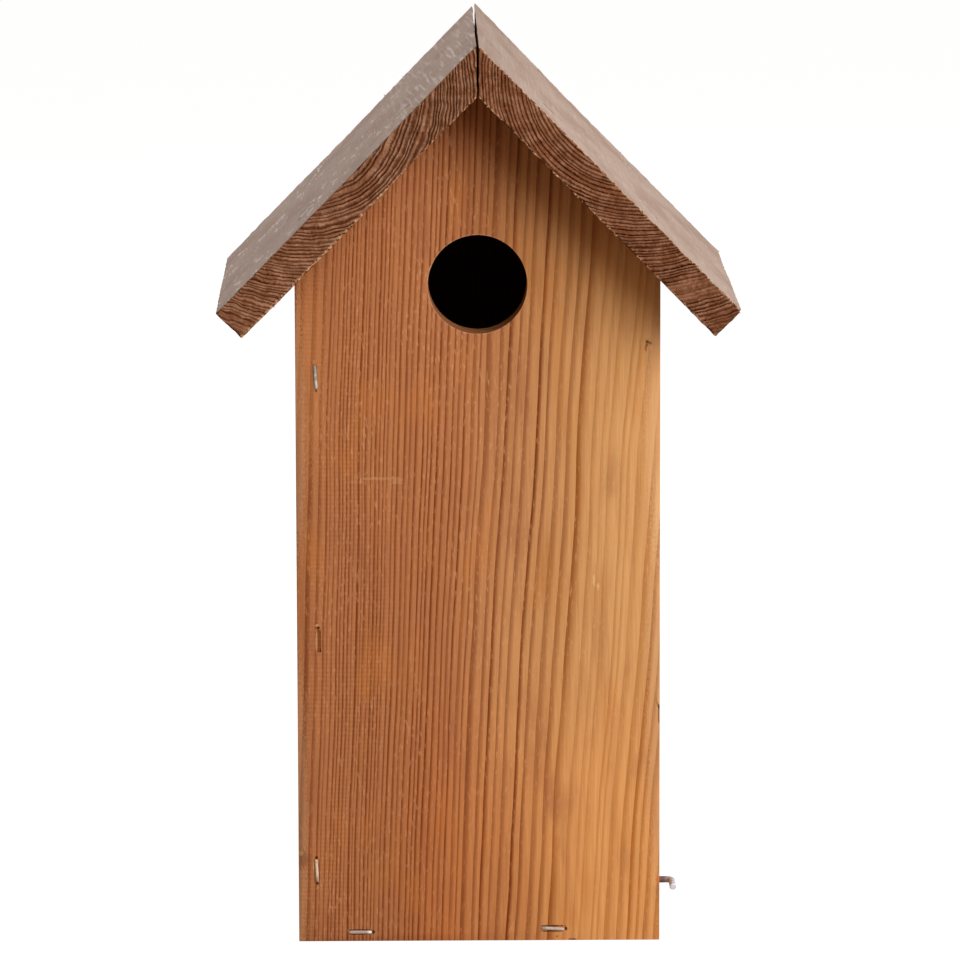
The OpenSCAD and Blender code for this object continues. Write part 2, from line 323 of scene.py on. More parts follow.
def planed_larch(name, cut, marks=(), hole=None):
    """Planed heartwood, golden where the cut's reach begins and red where it ends."""
    tree = Tree(name)
    late, year, radius = rings(tree, cut)
    where = tree.add(radius, tree.centred(tree.grain(30, 150, seed=3), 30))
    early_colour = tree.mix(tree.line(where, *cut.reach), GOLD, RED)
    late_colour = tree.mix(tree.line(where, *(cut.deepens or cut.reach)), GOLD_DARK, RED_DARK)
    strength = tree.times(tree.line(year, 0, 1, 0.55, 1.05),
                          tree.line(tree.grain(9, 80, seed=7), 0.3, 0.7, 0.84, 1.08))
    if cut.calm:
        inner, outer = cut.calm
        calm = tree.times(tree.ease(where, inner - 3, inner + 2), tree.ease(where, outer + 3, outer - 2))
        strength = tree.times(strength, tree.line(calm, 0, 1, 1.0, 0.52))
    colour = tree.mix(tree.math("MULTIPLY", late, strength, clamp=True), early_colour, late_colour)
    stain = tree.ease(tree.grain(13, 130, detail=3, seed=11), 0.48, 0.72)
    colour = tree.mix(tree.times(stain, 0.22), colour, STAIN)
    tint = tree.grain(16, 48, detail=3, seed=12)
    colour = tree.mix(tree.times(tree.ease(tint, 0.54, 0.72), 0.35), colour, ROSE)
    colour = tree.mix(tree.times(tree.ease(tint, 0.46, 0.30), 0.30), colour, AMBER)
    fibre = tree.grain(1.0, 32, detail=3, seed=13)
    colour = tree.shaded(colour, tree.line(fibre, 0.3, 0.7, 0.89, 1.10))
    rough = tree.line(tree.grain(22, 60, seed=16), 0.35, 0.65, 0.3, 1.0)
    dashes = tree.times(tree.ease(tree.grain(0.85, 3.6, seed=17), 0.54, 0.70), rough)
    colour = tree.mix(tree.times(dashes, 0.45), colour, LIFTED)
    strokes = tree.math("SINE", tree.add(tree.times(tree.axes[2], 2 * math.pi / PLANER_STROKE),
                                         tree.times(tree.grain(30, 30, seed=19), 9)))
    strokes = tree.times(strokes, tree.ease(tree.grain(18, 70, seed=23), 0.38, 0.6),
                         tree.ease(radius, cut.reach[1] + 8, cut.reach[1] + 28))
    colour = tree.shaded(colour, tree.line(strokes, -1, 1, 0.95, 1.04))
    height = tree.add(tree.times(late, 0.5), tree.times(fibre, 0.5), tree.times(dashes, 0.2),
                      tree.times(strokes, 0.25))
    if hole:
        colour, height = drilled(tree, colour, height, hole)
        colour = reddened(tree, colour)
    colour, height = add_marks(tree, colour, height, marks)
    return tree.finish(colour, 0.6, tree.bump(height, 0.10 * MM), specular=0.09)


def board_place(tree, node, side):
    """Millimetres down the slope from a roof board's upper ridge edge, and under its top face."""
    low, high = (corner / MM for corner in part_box(node))
    ridge_x = min(abs(low.x), abs(high.x))
    out = tree.subtract(tree.times(tree.axes[0], side), ridge_x)
    down = tree.subtract(high.z, tree.axes[1])
    slope = tree.add(tree.times(out, RUN), tree.times(down, FALL))
    below = tree.subtract(tree.times(down, RUN), tree.times(out, FALL))
    return slope, below


class Ends(NamedTuple):
    """What a roof board's sawn ends look like."""
    early: tuple                  # the early wood's two tones
    dark: tuple                   # the late wood's lines
    # The upper edge's pale fibres are also a painted highlight where the lamp lights that edge
    fringe_and_highlight: float                 # how far the pale fibres on the upper edge show
    ridge: float                  # strength of the lines next to the ridge
    plain: float                  # middle of a stretch where the lines fade, in millimetres down the slope


def end_grain(name, node, side, cut, looks):
    """Sawn end grain of a roof board: dark late-wood lines broken by the saw, pits and pale fibres on its long
    edges, which on the upper edge are also a painted highlight. The lines fade toward the lower tip."""
    tree = Tree(name)
    late, year, _ = rings(tree, cut)
    slope, below = board_place(tree, node, side)
    crumbs = tree.grain(1.3, 6, detail=3, seed=31)
    patches = tree.grain(12, 30, seed=33)
    ragged = tree.ease(tree.add(late, tree.centred(crumbs, 1.3)), 0.08, 0.85)
    toward_tip = tree.add(slope, tree.times(below, 0.5))
    off = tree.math("ABSOLUTE", tree.subtract(toward_tip, looks.plain))
    strength = tree.times(tree.line(year, 0, 1, 0.75, 1.05), tree.line(patches, 0.3, 0.7, 0.85, 1.1),
                          tree.line(slope, 0, 70, looks.ridge, 1.0), tree.ease(off, 2, 9, 0.35, 1.0),
                          tree.ease(toward_tip, 165, 173, 1.0, 0.5))
    tones = tree.grain(4, 8, seed=36)
    base = tree.mix(tree.times(tree.ease(tree.add(tones, tree.times(year, 0.15)), 0.36, 0.72), 0.8), *looks.early)
    colour = tree.mix(tree.math("MULTIPLY", ragged, strength, clamp=True), base, looks.dark)
    beads = tree.face_noise(tree.axes[1], tree.axes[0], (2.6, 7), seed=35)
    colour = tree.shaded(colour, tree.line(beads, 0.3, 0.7, 0.78, 1.18))
    specks = tree.ease(tree.grain(0.9, 4, seed=37), 0.56, 0.70)
    colour = tree.mix(tree.times(specks, 0.3), colour, SPECK)
    along = tree.face_noise(slope, below, (1.6, 1.6), seed=38)
    # Pale fibres on both long edges; on the upper edge also a painted highlight, as strong as the ends' third
    # number says
    pale = tree.times(tree.ease(along, 0.46, 0.60), tree.add(
        tree.times(tree.ease(below, 0.9, 0.3), looks.fringe_and_highlight), tree.times(tree.ease(below, 15.5, 16.1), 0.75)))
    colour = tree.mix(pale, colour, FRINGE_AND_HIGHLIGHT)
    pits = tree.noise(tree.vector(tree.times(slope, 1 / 3.4)), detail=1, seed=39)
    pits = tree.times(tree.ease(pits, 0.64, 0.70), tree.ease(below, 1.3, 0.7))
    colour = tree.mix(tree.times(pits, 0.85), colour, SAW_PIT)
    height = tree.add(tree.times(late, 1.2), tree.times(crumbs, 1.5), tree.times(pits, -2.0))
    return tree.finish(colour, 0.85, tree.bump(height, 0.45 * MM), specular=0.04)


def raw_wood(tree, late, wood, fleck):
    """The colour and height of faint rings, long torn fibres and raised flecks. wood holds two tones."""
    fibre = tree.grain(0.8, 30, detail=3, seed=41)
    blotch = tree.ease(tree.grain(12, 60, detail=3, seed=43), 0.3, 0.6)
    colour = tree.mix(blotch, *wood)
    flecks = tree.ease(tree.grain(1.2, 24, seed=47), 0.56, 0.68)
    colour = tree.mix(tree.times(flecks, 0.7), colour, fleck)
    colour = tree.mix(tree.times(late, 0.25), colour, tree.mix(0.5, wood[1], SAWN_RING))
    colour = tree.shaded(colour, tree.line(fibre, 0.3, 0.7, 0.93, 1.06))
    return colour, tree.add(fibre, tree.times(flecks, 0.8), tree.times(late, 0.3))


def chamber_face(name, cut):
    """The rough-sawn face of a board that looks into the nest chamber."""
    tree = Tree(name)
    late, _, _ = rings(tree, cut)
    colour, height = raw_wood(tree, late, CHAMBER_WOOD, CHAMBER_FLECK)
    return tree.finish(colour, 0.88, tree.bump(height, 0.35 * MM), specular=0.15)


class Weather(NamedTuple):
    """How a roof board's upper face has greyed. Colours are for the middle of the board."""
    worn: tuple                   # most of the face
    deep: tuple                   # darker patches
    pale: tuple                   # fibres that the saw raised
    tufts: float                  # how far the raised fibres show
    teeth: float                  # how far the saw's strokes near the ridge show
    ridge: float                  # brightness next to the ridge against the rest
    veer: float                   # how far the fibres run off the board's length, as a slope


def roof_face(name, node, side, cut, weather):
    """A roof board's sawn faces. The one that looks up is grey and patchy, with short raised fibres."""
    tree = Tree(name)
    late, _, _ = rings(tree, cut)
    slope, _ = board_place(tree, node, side)
    raw, raw_height = raw_wood(tree, late, ROOF_WOOD, ROOF_FLECK)
    back = tree.axes[2]
    across = tree.subtract(slope, tree.times(back, weather.veer))
    sway = tree.centred(tree.grain(25, 25, seed=51), 14)
    along = tree.add(back, sway)
    patches = tree.face_noise(tree.add(across, sway), back, (26, 50), detail=3, seed=50)
    fine = tree.face_noise(across, along, (2.6, 9), detail=3, seed=52)
    groups = tree.ease(tree.face_noise(across, back, (30, 60), seed=55), 0.40, 0.60)

    # Short raised fibres, in groups and away from the ridge
    dashes = tree.face_noise(across, along, (6.5, 17), seed=53)
    threads = tree.face_noise(across, back, (1.3, 16), seed=54)
    dashes = tree.ease(tree.add(dashes, tree.centred(threads, 0.6)), 0.54, 0.70)
    dashes = tree.times(dashes, tree.line(groups, 0, 1, 0.2, 1.0), tree.ease(slope, 30, 65))

    # The saw's strokes, near the ridge
    teeth = tree.face_noise(tree.add(across, tree.times(sway, 0.08)), back, (2.1, 60), detail=1, seed=57)
    stripes = tree.times(tree.ease(teeth, 0.5, 0.66), tree.ease(slope, 75, 25),
                         tree.line(groups, 0, 1, 0.4, 1.0), weather.teeth)

    colour = tree.mix(tree.times(tree.ease(patches, 0.38, 0.66), 0.8), weather.worn, weather.deep)
    colour = tree.shaded(colour, tree.line(fine, 0.3, 0.7, 0.93, 1.05))
    colour = tree.shaded(colour, tree.ease(slope, 5, 55, weather.ridge, 1.0))
    colour = tree.mix(tree.times(dashes, weather.tufts), colour, weather.pale)
    colour = tree.mix(stripes, colour, weather.pale)
    colour = tree.mix(tree.times(late, 0.06), colour, GREYED_RING)
    height = tree.add(tree.times(fine, 0.25), tree.times(dashes, 0.8), tree.times(stripes, 0.8))
    upward = tree.ease(tree.parts(tree.coordinates("Normal"))[2], 0.0, 0.5)
    height = tree.add(tree.times(height, upward), tree.times(raw_height, tree.subtract(1.0, upward)))
    return tree.finish(tree.mix(upward, raw, colour), 0.9, tree.bump(height, 0.35 * MM), specular=0.12)


def zinc(name, clean, dull, roughness, metallic, highlight_from=None):
    """Galvanised wire: grey with darker, rougher patches. The last argument holds two places in X, in metres,
    between which it turns from all dull to nearly clean, lighter toward the end as a painted highlight."""
    tree = Tree(name)
    place = tree.coordinates()
    patches = tree.noise(place, scale=420, detail=3)
    grain = tree.noise(place, scale=2600)
    worn = tree.ease(patches, 0.42, 0.62)
    # Painted highlight: the wire is nearly clean and light past the given places
    if highlight_from:
        highlight_mask = tree.ease(tree.parts(place)[0], *highlight_from)
        worn = tree.subtract(1.0, tree.times(tree.subtract(1.0, tree.times(worn, 0.35)), highlight_mask))
    colour = tree.mix(worn, clean, dull)
    rough = tree.line(worn, 0, 1, roughness, roughness + 0.2)
    height = tree.add(patches, tree.times(grain, 0.5))
    return tree.finish(colour, rough, tree.bump(height, 0.08 * MM), metallic=metallic)


# ---- Pieces ----

FLAT = math.radians(0.5)          # faces of the CAD mesh that meet at less are one face
CORNER = math.radians(30)         # edges that meet at more are corners, which are eased
CRISP = math.radians(24)          # edges that meet at more stay sharp in the shading
EASED, EASED_RIM = 0.5 * MM, 0.4 * MM


def add_object(name, data, *materials):
    piece = bpy.data.objects.new(name, data)
    bpy.context.scene.collection.objects.link(piece)
    for material in materials:
        data.materials.append(material)
    return piece


def smooth_round_faces(mesh):
    """Shades the drilled walls round and keeps the corners crisp."""
    if "custom_normal" in mesh.attributes:
        mesh.attributes.remove(mesh.attributes["custom_normal"])
    mesh.polygons.foreach_set("use_smooth", [True] * len(mesh.polygons))
    mesh.set_sharp_from_angle(angle=CRISP)


def round_edges(work, edges, size, segments):
    bmesh.ops.bevel(work, geom=edges, offset=size, segments=segments, profile=0.5, affect="EDGES",
                    clamp_overlap=True)


def splinter(vertices, faces, root, tip, width):
    """Adds one closed sliver of wood, a long three-sided point from root to tip."""
    direction = (tip - root).normalized()
    side = direction.orthogonal().normalized()
    first = len(vertices)
    for turn in range(3):
        around = Matrix.Rotation(turn * 2 * math.pi / 3, 3, direction)
        vertices.append(root + around @ side * width / 2)
    vertices.append(tip)
    faces += [(first + 2, first + 1, first), (first, first + 1, first + 3),
              (first + 1, first + 2, first + 3), (first + 2, first, first + 3)]


def looks_inside(face):
    """True for a face on the nest chamber's side of a board."""
    low, high = CHAMBER
    slack = 2 * MM
    centre = face.calc_center_median()
    within = all(low[i] - slack < centre[i] < high[i] + slack for i in range(3))
    return within and ((low + high) / 2 - centre).dot(face.normal) > 0


def planed_board(node, body, outside, inside, rim=None):
    """The CAD board as a piece of its own, with its long edges eased. rim is the middle and the radius of a
    hole's front edge, which is eased too."""
    mesh = frame["nodes"][node].data.copy()
    work = bmesh.new()
    work.from_mesh(mesh)
    bmesh.ops.remove_doubles(work, verts=work.verts, dist=0.005 * MM)
    bmesh.ops.dissolve_limit(work, angle_limit=FLAT, verts=work.verts, edges=work.edges)
    round_edges(work, [edge for edge in work.edges if len(edge.link_faces) == 2
                       and edge.calc_face_angle() > CORNER and edge.calc_length() > 5 * MM], EASED, 2)
    if rim:
        middle, radius = rim
        round_edges(work, [edge for edge in work.edges
                           if all(abs((v.co - middle).length - radius) < 0.05 * MM for v in edge.verts)],
                    EASED_RIM, 3)
    for face in work.faces:
        face.material_index = int(looks_inside(face))
    work.to_mesh(mesh)
    work.free()
    kinds = [face.material_index for face in mesh.polygons]
    mesh.materials.clear()
    piece = add_object(node + "_planed", mesh, outside, inside)
    mesh.polygons.foreach_set("material_index", kinds)
    smooth_round_faces(mesh)
    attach(piece, body)
    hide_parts(node)
    return piece


def torn_cover(name, outline, depth, material):
    """Wood fibres that have closed over a hole in the front's face: a thin closed slip with a ragged outline,
    given in X and Z in millimetres. depth is how far it lies under the face."""
    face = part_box("front_wall")[0].y / MM
    near, far = face + depth, face + depth + 0.5
    count = len(outline)
    vertices = [(x * MM, y * MM, z * MM) for y in (near, far) for x, z in outline]
    faces = [tuple(range(count)), tuple(reversed(range(count, 2 * count)))]
    faces += [(i, i + count, (i + 1) % count + count, (i + 1) % count) for i in range(count)]
    mesh = bpy.data.meshes.new(name)
    mesh.from_pydata(vertices, [], faces)
    work = bmesh.new()
    work.from_mesh(mesh)
    bmesh.ops.recalc_face_normals(work, faces=work.faces)
    work.to_mesh(mesh)
    work.free()
    piece = add_object(name, mesh, material)
    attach(piece, "root")
    return piece


def ragged_ring(x, z, half_x, half_z, stray, seed):
    """An upright oval outline that wanders by stray millimetres."""
    turns = np.linspace(0, 2 * math.pi, 28, endpoint=False)
    out = noise(seed, 3 * np.cos(turns), 3 * np.sin(turns), 0)
    return [(x + (half_x + stray * o) * math.cos(t), z + (half_z + stray * o) * math.sin(t))
            for t, o in zip(turns, out)]


def grid_lines(length, cell, marks=()):
    """Places along a length, in millimetres: even cells, closer ones at both ends, and the marks."""
    ends = [0.0, 0.35, 0.8, 1.4]
    count = max(2, round((length - 2 * ends[-1]) / cell))
    even = np.linspace(ends[-1], length - ends[-1], count + 1)
    lines = sorted({*ends, *(length - e for e in ends), *even, *marks})
    kept = [lines[0]]
    for place in lines[1:]:
        near = place - kept[-1] < 0.3
        if near and place in marks:
            kept[-1] = place
        elif not near:
            kept.append(place)
    kept[-1] = length
    return np.array(kept)


class Shape(NamedTuple):
    """How a roof board strays from a straight one, in millimetres."""
    opening: float                # how far its ridge edge has moved down the slope at the back
    lift: float                   # how far its ridge edge has moved off the walls at the back
    skew: float                   # how much longer its eave is cut at the back
    sag: float                    # how far its eave half has sunk on to the walls


def closed_grid(count_s, count_t, count_y):
    """The points on the surface of a block of cells, the quads round its section and those of its two ends."""
    # Round the section, from the upper ridge edge down the slope and back
    ring = [(i, count_t - 1) for i in range(count_s)] + [(count_s - 1, j) for j in range(count_t - 2, -1, -1)]
    ring += [(i, 0) for i in range(count_s - 2, -1, -1)] + [(0, j) for j in range(1, count_t - 1)]
    inside = [(i, j) for i in range(1, count_s - 1) for j in range(1, count_t - 1)]
    rows = [(i, j, k) for k in range(count_y) for i, j in ring]
    caps = [(i, j, k) for k in (0, count_y - 1) for i, j in inside]
    around, ends = [], []
    size = len(ring)
    for start in range(0, (count_y - 1) * size, size):
        for i in range(size):
            j = (i + 1) % size
            around.append((start + i, start + j, start + size + j, start + size + i))
    for cap, k in enumerate((0, count_y - 1)):
        place = {key: k * size + i for i, key in enumerate(ring)}
        place.update({key: len(rows) + cap * len(inside) + i for i, key in enumerate(inside)})
        for i in range(count_s - 1):
            for j in range(count_t - 1):
                quad = (place[i, j], place[i + 1, j], place[i + 1, j + 1], place[i, j + 1])
                ends.append(quad if k == 0 else quad[::-1])
    return np.array(rows + caps), around, ends


def worn_edges(places, sizes, seed):
    """How far each point moves inward on the three axes, so that a board's edges are round. The radius wanders,
    and is larger where wood has split off, away from the ridge."""
    s, t, y = places
    wander = noise(seed, s / 5, t / 5, y / 6)
    torn = np.clip(noise(seed + 1, s / 2.4, t / 2.4, y / 2.8) - 0.15, 0, 1)
    radius = 0.4 + 0.2 * wander + 3.0 * torn * np.clip(s / 12, 0, 1)
    inward = []
    for place, size in zip(places, sizes):
        gap = np.minimum(place, size - place)
        inward.append(np.maximum(radius - gap, 0) * np.where(place < size / 2, 1, -1))
    reach = np.sqrt(sum(q * q for q in inward))
    cut = np.where(reach > radius, 1 - radius / np.maximum(reach, 1e-9), 0)
    return [q * cut for q in inward]


def sawn_relief(places, seed):
    """How far each point stands off a board's straight faces: torn fibres along the grain, the saw's strokes
    across it and a slow wave."""
    s, t, y = places
    fibres = noise(seed + 2, s / 1.5, t / 1.5, y / 24)
    tufts = np.clip(noise(seed + 3, s / 2.6, t / 2.6, y / 11) - 0.3, 0, 1)
    strokes = np.sin(2 * math.pi * (y + 0.2 * s) / 3.4) * (0.6 + 0.4 * noise(seed + 4, s / 30, t / 30, y / 30))
    wave = noise(seed + 5, s / 42, t / 42, y / 75)
    crumbs = noise(seed + 6, s / 1.8, t / 1.8, y / 1.8)
    return 0.05 * fibres + 0.40 * tufts + 0.04 * strokes + 0.15 * wave + 0.08 * crumbs


def sawn_board(node, body, side, faces_material, ends_material, seed, shape):
    """A rough-sawn roof board: a closed grid with ragged edges, torn fibres and grooves for its staples. side
    is -1 for the left board and 1 for the right one. In millimetres, s goes down the slope from the ridge, t up
    through the thickness and y to the back."""
    low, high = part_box(node)
    ridge_x = min(abs(low.x), abs(high.x))
    eave_x = max(abs(low.x), abs(high.x))
    top_ridge = Vector((ridge_x, high.z)) / MM
    top_eave = Vector((eave_x, high.z - (eave_x - ridge_x) * FALL / RUN)) / MM
    thick = (top_eave.y - low.z / MM) / RUN
    low_ridge = top_ridge - Vector((0, thick / RUN))
    low_eave = top_eave - thick * Vector((FALL, RUN))
    slope = (top_eave - top_ridge).length
    depth = (high.y - low.y) / MM

    spots = staple_spots(node, top_ridge)
    along_marks = [s + d for s, _ in spots for d in (-5.8, -5.4, 5.4, 5.8)]
    depth_marks = [y - low.y / MM + d for _, y in spots for d in (-1.2, -0.8, 0, 0.8, 1.2)]

    lines = grid_lines(slope, 1.15, along_marks), grid_lines(thick, 1.0), grid_lines(depth, 1.2, depth_marks)
    index, faces, ends = closed_grid(*(len(line) for line in lines))
    if side < 0:
        faces, ends = [quad[::-1] for quad in faces], [quad[::-1] for quad in ends]
    places = s, t, y = [line[index[:, axis]] for axis, line in enumerate(lines)]
    down, up = (s / slope)[:, None], (t / thick)[:, None]
    upper = (1 - down) * top_ridge + down * top_eave
    lower = (1 - down) * low_ridge + down * low_eave
    flat = lower + (upper - lower) * up

    down_slope = np.array([RUN, -FALL])
    upward = np.array([FALL, RUN])
    worn = worn_edges(places, (slope, thick, depth), seed)
    flat = flat + np.outer(worn[0], down_slope) + np.outer(worn[1], upward)
    # The boards have dried: the ridge joint opens towards the back, and the board lifts a little there
    backward = y / depth
    near_ridge = np.clip(1 - s / 60, 0, 1)
    flat += np.outer(shape.opening * backward * near_ridge, down_slope)
    flat += np.outer(shape.lift * backward * near_ridge, upward)
    flat += np.outer(shape.skew * backward * np.clip(s / slope * 3 - 2, 0, 1), down_slope)
    flat -= np.outer(shape.sag * np.clip((s - 46) / 34, 0, 1), upward)
    points = np.stack([side * flat[:, 0] * MM, low.y + (y + worn[2]) * MM, flat[:, 1] * MM], axis=1)

    mesh = bpy.data.meshes.new(node + "_sawn")
    mesh.from_pydata(points.tolist(), [], faces + ends)
    mesh.update()
    normals = np.zeros(len(points) * 3, np.float32)
    mesh.vertex_normals.foreach_get("vector", normals)
    normals = normals.reshape(-1, 3)

    relief = sawn_relief(places, seed)
    for spot_s, spot_y in spots:
        under_crown = (abs(s - spot_s) < 5.6) & (abs(y - (spot_y - low.y / MM)) < 1.0) & (t > thick - 0.01)
        relief = np.where(under_crown, -1.5, relief)
    points = points + normals * (relief * MM)[:, None]

    vertices = [Vector(p) for p in points]
    slivers = []
    add_splinters(vertices, slivers, points, normals, index, seed)
    mesh.clear_geometry()
    mesh.from_pydata(vertices, [], faces + ends + slivers)
    mesh.update()
    kinds = [0] * len(faces) + [1] * (len(ends) + len(slivers))
    piece = add_object(node + "_sawn", mesh, faces_material, ends_material)
    mesh.polygons.foreach_set("material_index", kinds)
    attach(piece, body)
    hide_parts(node)
    return piece


def staple_spots(node, top_ridge):
    """Where a roof board's staples stand: along the slope from the ridge and in Y, in millimetres."""
    spots = []
    for index in range(1, 5):
        corners = np.array([v.co for v in frame["nodes"][f"{node}_staple_{index}"].data.vertices]) / MM
        outward = np.abs(corners[:, 0]) * FALL + corners[:, 2] * RUN
        crown = corners[outward > outward.max() - 0.4]
        x, z = np.abs(crown[:, 0]).mean(), crown[:, 2].mean()
        along = (x - top_ridge.x) * RUN + (top_ridge.y - z) * FALL
        spots.append((round(along, 2), round(crown[:, 1].mean(), 2)))
    return spots


def add_splinters(vertices, slivers, points, normals, index, seed):
    """Loose fibres that stand off the edges of a sawn board's two ends, except at the ridge."""
    last_s, last_t, last_y = index.max(axis=0)
    on_edge = ((index[:, 2] == 0) | (index[:, 2] == last_y)) & (
        (index[:, 1] == 0) | (index[:, 1] == last_t) | (index[:, 0] == last_s))
    places = np.flatnonzero(on_edge)
    draws = np.random.default_rng(seed)
    for place in draws.choice(places, size=40, replace=False):
        root = Vector(points[place])
        out = Vector(normals[place])
        lean = Vector(draws.uniform(-1, 1, 3)) * 0.9
        length = draws.uniform(0.5, 1.5) * MM
        splinter(vertices, slivers, root - out * 0.4 * MM, root + (out + lean).normalized() * length,
                 draws.uniform(0.5, 0.9) * MM)


# ---- Wood of this box ----

FRONT_CUT = Cut(grain="z", heart=(170, 70), lean=(0.0, 0.055), rings=0.28,
                narrow=((160, 189, 0.09), (207, 228, 0.04), (228, 241, 0.175), (241, 259, 0.23), (259, 283, 0.37)),
                late=(0.72, 0.64), reach=(184, 238), deepens=(187, 211), calm=(179, 196),
                sharp=0.8, wobble=1.2, seed=2)
BACK_CUT = Cut(grain="z", heart=(-30, 190), lean=(0.02, -0.03), rings=0.30,
               late=(0.35, 0.35), reach=(90, 200), wobble=1.6, seed=40)
LEFT_CUT = Cut(grain="z", heart=(-190, 60), lean=(-0.01, 0.05), rings=0.26,
               late=(0.4, 0.4), reach=(150, 320), wobble=1.4, seed=60)
SIDE_CUT = Cut(grain="z", heart=(170, -40), lean=(0.03, 0.0), rings=0.22,
               late=(0.36, 0.36), reach=(120, 260), wobble=1.6, seed=80)
FLOOR_CUT = Cut(grain="y", heart=(-20, -60), lean=(0.0, 0.02), rings=0.28,
                late=(0.4, 0.4), reach=(60, 140), wobble=1.5, seed=100)

# For the left roof board, -1, and the right one, 1
ROOF_CUTS = {-1: Cut(grain="y", heart=(-78, 391.7), lean=(0.01, 0.0), rings=0.50, narrow=((58, 100, 0.14),),
                     late=(0.70, 0.70), reach=(60, 130), sharp=0.7, wobble=1.6, kink=0.8, seed=120),
             1: Cut(grain="y", heart=(71, 403.2), lean=(-0.01, 0.0), rings=0.58, narrow=((58, 100, 0.08),),
                    late=(0.72, 0.72), reach=(60, 130), sharp=0.7, wobble=1.2, kink=0.4, seed=140)}
ROOF_WEATHER = {-1: Weather(rgb(158, 139, 128), rgb(143, 122, 111), rgb(214, 202, 195), 0.6, 0.5, 1.0, 0.063),
                1: Weather(rgb(183, 162, 149), rgb(164, 139, 125), rgb(212, 195, 182), 0.4, 0.2, 0.85, 0.0)}
# The third number is how far the upper edge is painted pale: fibres, and on the right board a painted highlight
ROOF_ENDS = {-1: Ends((rgb(174, 128, 100), rgb(130, 82, 52)), rgb(76, 32, 10), 0.15, 0.62, 200),
             1: Ends((rgb(160, 112, 84), rgb(114, 66, 38)), rgb(46, 12, 0), 0.9, 1.0, 150)}
ROOF_SHAPES = {-1: Shape(opening=0.3, lift=0.0, skew=0.9, sag=0.55),
               1: Shape(opening=-1.1, lift=0.7, skew=-2.2, sag=0.0)}

CHAMBER = (Vector((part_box("left_wall")[1].x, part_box("front_wall")[1].y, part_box("floor_board")[1].z)),
           Vector((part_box("clean_out_side")[0].x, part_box("back_wall")[0].y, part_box("front_wall")[1].z)))


def middle_of(node):
    """The middle of a node's box in X and Z, and half its height, in millimetres."""
    low, high = (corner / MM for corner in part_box(node))
    return (low.x + high.x) / 2, (low.z + high.z) / 2, (high.z - low.z) / 2


def staple_marks():
    """What the staple gun has done to the front: holes where the legs went in at the upper, lower and right ends of
    the crowns, u, d and r, painted dark as painted shade over a dent, painted shade along some crowns, and torn
    wood beside them."""
    marks = []
    for node, ends in (("front_side_staple_3", "d"), ("front_side_staple_2", "u"), ("front_side_staple_1", "ud"),
                       ("front_floor_staple_1", "r"), ("front_floor_staple_2", "r")):
        low, high = (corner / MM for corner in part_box(node))
        x, z = (low.x + high.x) / 2, (low.z + high.z) / 2
        for end in ends:
            place = {"u": (x - 0.2, high.z + 0.1), "d": (x + 0.2, low.z - 0.1), "r": (high.x + 0.1, z)}[end]
            # Painted shade in each leg hole, with a dent
            marks.append(Mark(*place, 0.65, 0.75, (70, 32, 12), 0.92, -6, 0.8))
    x, z, half = middle_of("front_side_staple_3")
    marks += [Mark(x - 0.6, z + half + 1, 1.4, 1, (208, 128, 64), 0.55, 1.5, 2.6),
              Mark(x + 1.6, z + half - 0.2, 0.9, 0.9, (208, 134, 76), 0.4, 1, 2.2),
              Mark(x - 0.5, z + half - 0.2, 0.9, 0.5, (116, 90, 70), 0.7, 0.5, 1.5)]
    x, z, half = middle_of("front_side_staple_2")
    # Over the groove: rust-brown painted shade of the slot, and beside it a pale torn lip that is also a painted
    # highlight of the lit groove edge
    marks += [Mark(x, z - 0.2, 0.7, half + 0.2, (118, 62, 24), 0.8, -1, 0.7),
              Mark(x - 1.1, z - 0.2, 0.5, half - 1, (226, 172, 120), 0.6, 0.6, 0.8),
              Mark(x - 0.7, z + half + 1.3, 0.8, 0.7, (232, 176, 122), 0.6, 0.6, 1.4)]
    x, z, half = middle_of("front_side_staple_1")
    # Painted shade along both sides of the crown
    marks += [Mark(x - 1.1, z, 0.3, half, (104, 72, 34), 0.6, -1, 0.8),
              Mark(x + 1.1, z - 0.5, 0.25, half, (96, 50, 24), 0.6, -1, 0.8),
              Mark(x - 1.6, z + 2.2, 0.35, 2.4, FRESH, 0.5, 1, 1),
              Mark(x + 0.4, z - half - 1.8, 0.8, 1, (198, 148, 96), 0.6, 1, 2)]
    for node in ("front_floor_staple_1", "front_floor_staple_2"):
        x, z, half = middle_of(node)
        # Painted shade along the crown's upper and lower edges, with a dent
        marks += [Mark(x, z + half + 0.15, 5.6, 0.45, CROWN_EDGE_SHADE, 0.85, -1.5, 0.9),
                  Mark(x - 0.5, z - half - 0.12, 5.2, 0.42, CROWN_EDGE_SHADE, 0.75, -1.5, 0.9)]
    return marks


def nail_marks():
    """The nail was driven below the face and has torn the wood beside it. The pit and the tears are painted dark:
    torn wood and painted shade, over dents.
    """
    x, z, _ = middle_of("pivot_nail_front")
    return [
        Mark(x + 0.8, z + 0.4, 0.75, 0.85, (84, 36, 12), 0.85, -3, 0.7),
        Mark(x + 0.5, z - 1.1, 0.6, 0.9, (136, 74, 36), 0.75, -1.5, 0.9),
        Mark(x + 0.1, z - 2.5, 0.6, 1.5, (156, 88, 46), 0.65, -1, 0.9),
        Mark(x + 2.2, z - 0.3, 0.7, 0.7, (118, 62, 30), 0.75, -1.5, 0.8),
        Mark(x + 1.5, z + 0.1, 0.6, 0.5, (130, 70, 34), 0.65, -1, 0.8),
        Mark(x - 1.9, z - 0.4, 0.7, 2.2, (222, 160, 110), 0.35, 1, 1.2),
        Mark(x + 2.2, z - 2.4, 0.9, 1.6, (222, 160, 108), 0.40, 1, 1.4)]


